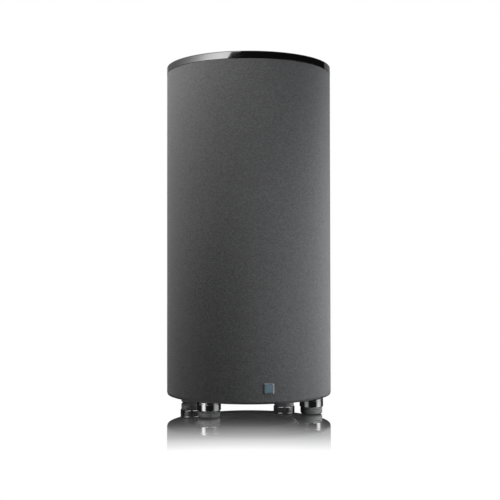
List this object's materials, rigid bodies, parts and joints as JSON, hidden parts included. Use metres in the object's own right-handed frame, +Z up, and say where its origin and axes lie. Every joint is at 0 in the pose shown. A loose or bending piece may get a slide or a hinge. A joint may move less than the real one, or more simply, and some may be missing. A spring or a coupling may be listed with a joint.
{
  "type": "subwoofer",
  "caption": "Tall cylinder subwoofer in a knitted cover with a gloss black top, metal-collared levelling feet, down-firing woofer, top port and rear plate amplifier.",
  "frame": {"origin": "floor plane under the cabinet's axis", "axes": "+Z up along the cylinder, front with the badge towards -Y, amplifier towards +Y, +X to the right seen from the front"},
  "size_m": [0.42, 0.4222, 0.8725],
  "materials": {
    "amp_plate": "satin",
    "badge_face": "satin",
    "badge_metal": "satin",
    "basket": "satin",
    "batting": "matte",
    "bezel": "matte",
    "black_board": "satin",
    "black_screw": "satin",
    "board": "satin",
    "box_steel": "matte",
    "braid": "satin",
    "coil": "satin",
    "components": "satin",
    "cone": "matte",
    "dust_cap": "satin",
    "ferrite": "matte",
    "fibreboard": "matte",
    "flare_plastic": "satin",
    "foot_chrome": "polished",
    "foot_rubber": "matte",
    "former": "satin",
    "gasket": "matte",
    "gloss_top": "gloss",
    "heat_sink": "satin",
    "inlet": "satin",
    "insert": "satin",
    "jack": "satin",
    "knit": "matte",
    "knob": "matte",
    "lens": "gloss",
    "plywood": "matte",
    "port_plastic": "matte",
    "pot": "satin",
    "rca": "polished",
    "spider": "matte",
    "steel_plate": "satin",
    "surround": "matte",
    "switch": "satin",
    "terminal": "satin",
    "toroid": "satin",
    "trim_ring": "satin",
    "wire": "satin",
    "zinc": "satin"
  },
  "bodies": {
    "cabinet": {"amp_back_box": "box_steel", "amp_bezel": "bezel", "amp_circuit_board": "board", "amp_gasket": "gasket", "amp_panel": "amp_plate", "amp_screws": "black_screw", "badge_face": "badge_face", "badge_frame": "badge_metal", "base_baffle": "black_board", "board_components": "components", "cabinet_tube": "fibreboard", "damping_liner": "batting", "foot_inserts": "insert", "heat_sink": "heat_sink", "knit_cover": "knit", "mains_inlet": "inlet", "motor_front_plate": "steel_plate", "motor_magnet": "ferrite", "motor_pole_yoke": "steel_plate", "port_brace": "plywood", "port_flare": "flare_plastic", "port_tube": "port_plastic", "potentiometers": "pot", "rca_jacks": "rca", "speaker_wires": "wire", "status_led": "lens", "switch_bodies": "switch", "tinsel_leads": "braid", "top_bulkhead": "fibreboard", "top_cap": "gloss_top", "toroid_transformer": "toroid", "trigger_jack": "jack", "woofer_basket": "basket", "woofer_screws": "black_screw", "woofer_spider": "spider", "woofer_surround": "surround", "woofer_terminals": "terminal", "woofer_trim_ring": "trim_ring"},
    "cone_assembly": {"woofer_cone": "cone", "woofer_dust_cap": "dust_cap", "voice_coil_former": "former", "voice_coil": "coil"},
    "level_control": {"level_knob": "knob"},
    "lowpass_control": {"lowpass_knob": "knob"},
    "phase_control": {"phase_knob": "knob"},
    "rocker": {"power_rocker": "switch"},
    "mode_switch": {"mode_slider": "switch"},
    "fuse_holder": {"fuse_drawer": "inlet"},
    "foot_front_left_base": {"foot_front_left_pad": "foot_rubber"},
    "foot_front_left_stem": {"foot_front_left_collar": "foot_chrome", "foot_front_left_stud": "zinc"},
    "foot_front_right_base": {"foot_front_right_pad": "foot_rubber"},
    "foot_front_right_stem": {"foot_front_right_collar": "foot_chrome", "foot_front_right_stud": "zinc"},
    "foot_rear_left_base": {"foot_rear_left_pad": "foot_rubber"},
    "foot_rear_left_stem": {"foot_rear_left_collar": "foot_chrome", "foot_rear_left_stud": "zinc"},
    "foot_rear_right_base": {"foot_rear_right_pad": "foot_rubber"},
    "foot_rear_right_stem": {"foot_rear_right_collar": "foot_chrome", "foot_rear_right_stud": "zinc"}
  },
  "joints": [
    {"name": "cone_travel", "type": "slide", "parent": "cabinet", "child": "cone_assembly", "axis": [0, 0, 1], "range_m": [-0.014, 0.014], "stiffness_N_per_m": 3200, "deforming": ["woofer_surround", "woofer_spider", "tinsel_leads"]},
    {"name": "foot_front_left_lift", "type": "slide", "parent": "cabinet", "child": "foot_front_left_base", "axis": [0, 0, -1], "range_m": [0, 0.00501]},
    {"name": "foot_front_left_turn", "type": "hinge", "parent": "foot_front_left_base", "child": "foot_front_left_stem", "pos_m": [-0.12834, -0.12834, 0.03], "axis": [0, 0, -1], "range_deg": [0, 1440]},
    {"name": "foot_front_right_lift", "type": "slide", "parent": "cabinet", "child": "foot_front_right_base", "axis": [0, 0, -1], "range_m": [0, 0.00501]},
    {"name": "foot_front_right_turn", "type": "hinge", "parent": "foot_front_right_base", "child": "foot_front_right_stem", "pos_m": [0.12834, -0.12834, 0.03], "axis": [0, 0, -1], "range_deg": [0, 1440]},
    {"name": "foot_rear_left_lift", "type": "slide", "parent": "cabinet", "child": "foot_rear_left_base", "axis": [0, 0, -1], "range_m": [0, 0.00501]},
    {"name": "foot_rear_left_turn", "type": "hinge", "parent": "foot_rear_left_base", "child": "foot_rear_left_stem", "pos_m": [-0.12834, 0.12834, 0.03], "axis": [0, 0, -1], "range_deg": [0, 1440]},
    {"name": "foot_rear_right_lift", "type": "slide", "parent": "cabinet", "child": "foot_rear_right_base", "axis": [0, 0, -1], "range_m": [0, 0.00501]},
    {"name": "foot_rear_right_turn", "type": "hinge", "parent": "foot_rear_right_base", "child": "foot_rear_right_stem", "pos_m": [0.12834, 0.12834, 0.03], "axis": [0, 0, -1], "range_deg": [0, 1440]},
    {"name": "level_turn", "type": "hinge", "parent": "cabinet", "child": "level_control", "pos_m": [-0.054, 0.19, 0.322], "axis": [0, 1, 0], "range_deg": [-150, 150]},
    {"name": "lowpass_turn", "type": "hinge", "parent": "cabinet", "child": "lowpass_control", "pos_m": [0, 0.19, 0.322], "axis": [0, 1, 0], "range_deg": [-150, 150]},
    {"name": "phase_turn", "type": "hinge", "parent": "cabinet", "child": "phase_control", "pos_m": [0.054, 0.19, 0.322], "axis": [0, 1, 0], "range_deg": [-150, 150]},
    {"name": "rocker_tilt", "type": "hinge", "parent": "cabinet", "child": "rocker", "pos_m": [-0.038, 0.182, 0.146], "axis": [1, 0, 0], "range_deg": [-14, 0]},
    {"name": "mode_slide", "type": "slide", "parent": "cabinet", "child": "mode_switch", "axis": [1, 0, 0], "range_m": [0, 0.006]},
    {"name": "fuse_drawer_pull", "type": "slide", "parent": "cabinet", "child": "fuse_holder", "axis": [0, 1, 0], "range_m": [0, 0.018]}
  ],
  "couplings": [
    {"joint": "foot_front_left_lift", "follows": "foot_front_left_turn", "m_per_rad": 0.00019894},
    {"joint": "foot_front_right_lift", "follows": "foot_front_right_turn", "m_per_rad": 0.00019894},
    {"joint": "foot_rear_left_lift", "follows": "foot_rear_left_turn", "m_per_rad": 0.00019894},
    {"joint": "foot_rear_right_lift", "follows": "foot_rear_right_turn", "m_per_rad": 0.00019894}
  ]
}
